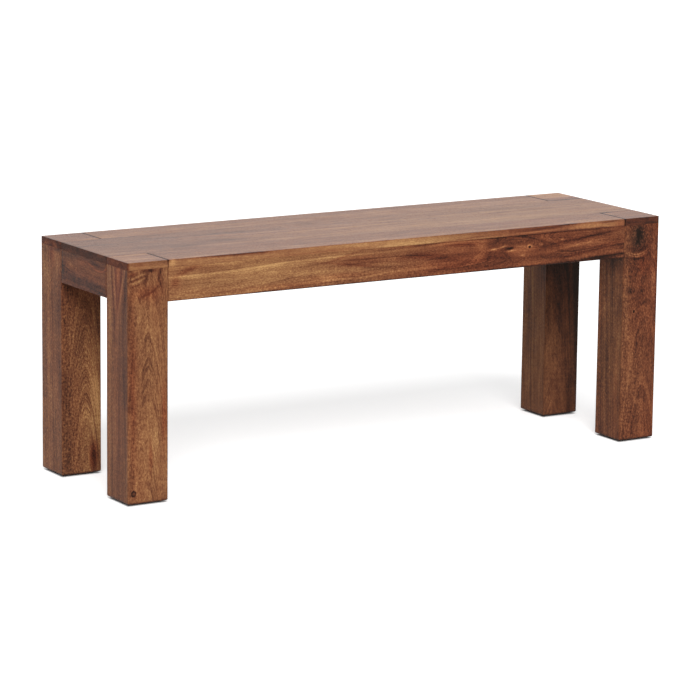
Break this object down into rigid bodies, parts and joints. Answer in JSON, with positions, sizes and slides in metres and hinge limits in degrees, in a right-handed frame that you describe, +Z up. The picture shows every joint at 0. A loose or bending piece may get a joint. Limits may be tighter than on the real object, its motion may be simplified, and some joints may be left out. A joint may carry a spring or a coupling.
{
  "type": "bench",
  "caption": "Backless hardwood bench: chunky square legs with flush square caps, a plank seat notched round them and shallow rails flush with the legs.",
  "frame": {"origin": "on the floor, under the middle of the seat", "axes": "+X along the bench to the right, +Y to the rear, +Z up"},
  "size_m": [1.2, 0.35, 0.455],
  "materials": {
    "seat_wood": "satin lacquer",
    "cap_wood": "satin lacquer",
    "leg_wood": "satin lacquer",
    "rail_wood": "satin lacquer",
    "inner_wood": "sanded, unfinished",
    "dowel_wood": "unfinished beech",
    "plate_steel": "zinc plated",
    "bolt_steel": "zinc plated",
    "screw_steel": "yellow passivated",
    "glide_nylon": "matt brown nylon"
  },
  "bodies": {
    "root": {"brace_dowels": "dowel_wood", "cap_dowels": "dowel_wood", "centre_brace": "inner_wood", "corner_plate_front_left": "plate_steel", "corner_plate_front_right": "plate_steel", "corner_plate_rear_left": "plate_steel", "corner_plate_rear_right": "plate_steel", "corner_plate_screws": "screw_steel", "foot_glide_front_left": "glide_nylon", "foot_glide_front_right": "glide_nylon", "foot_glide_nails": "screw_steel", "foot_glide_rear_left": "glide_nylon", "foot_glide_rear_right": "glide_nylon", "front_rail": "rail_wood", "left_end_rail": "rail_wood", "leg_bolt_nuts": "bolt_steel", "leg_bolt_washers": "bolt_steel", "leg_bolts": "bolt_steel", "leg_cap_front_left": "cap_wood", "leg_cap_front_right": "cap_wood", "leg_cap_rear_left": "cap_wood", "leg_cap_rear_right": "cap_wood", "leg_front_left": "leg_wood", "leg_front_right": "leg_wood", "leg_rear_left": "leg_wood", "leg_rear_right": "leg_wood", "rear_rail": "rail_wood", "right_end_rail": "rail_wood", "seat_cleat_front_left": "inner_wood", "seat_cleat_front_right": "inner_wood", "seat_cleat_rear_left": "inner_wood", "seat_cleat_rear_right": "inner_wood", "seat_screws": "screw_steel", "seat_stave_front": "seat_wood", "seat_stave_middle_1": "seat_wood", "seat_stave_middle_2": "seat_wood", "seat_stave_rear": "seat_wood"}
  },
  "joints": []
}
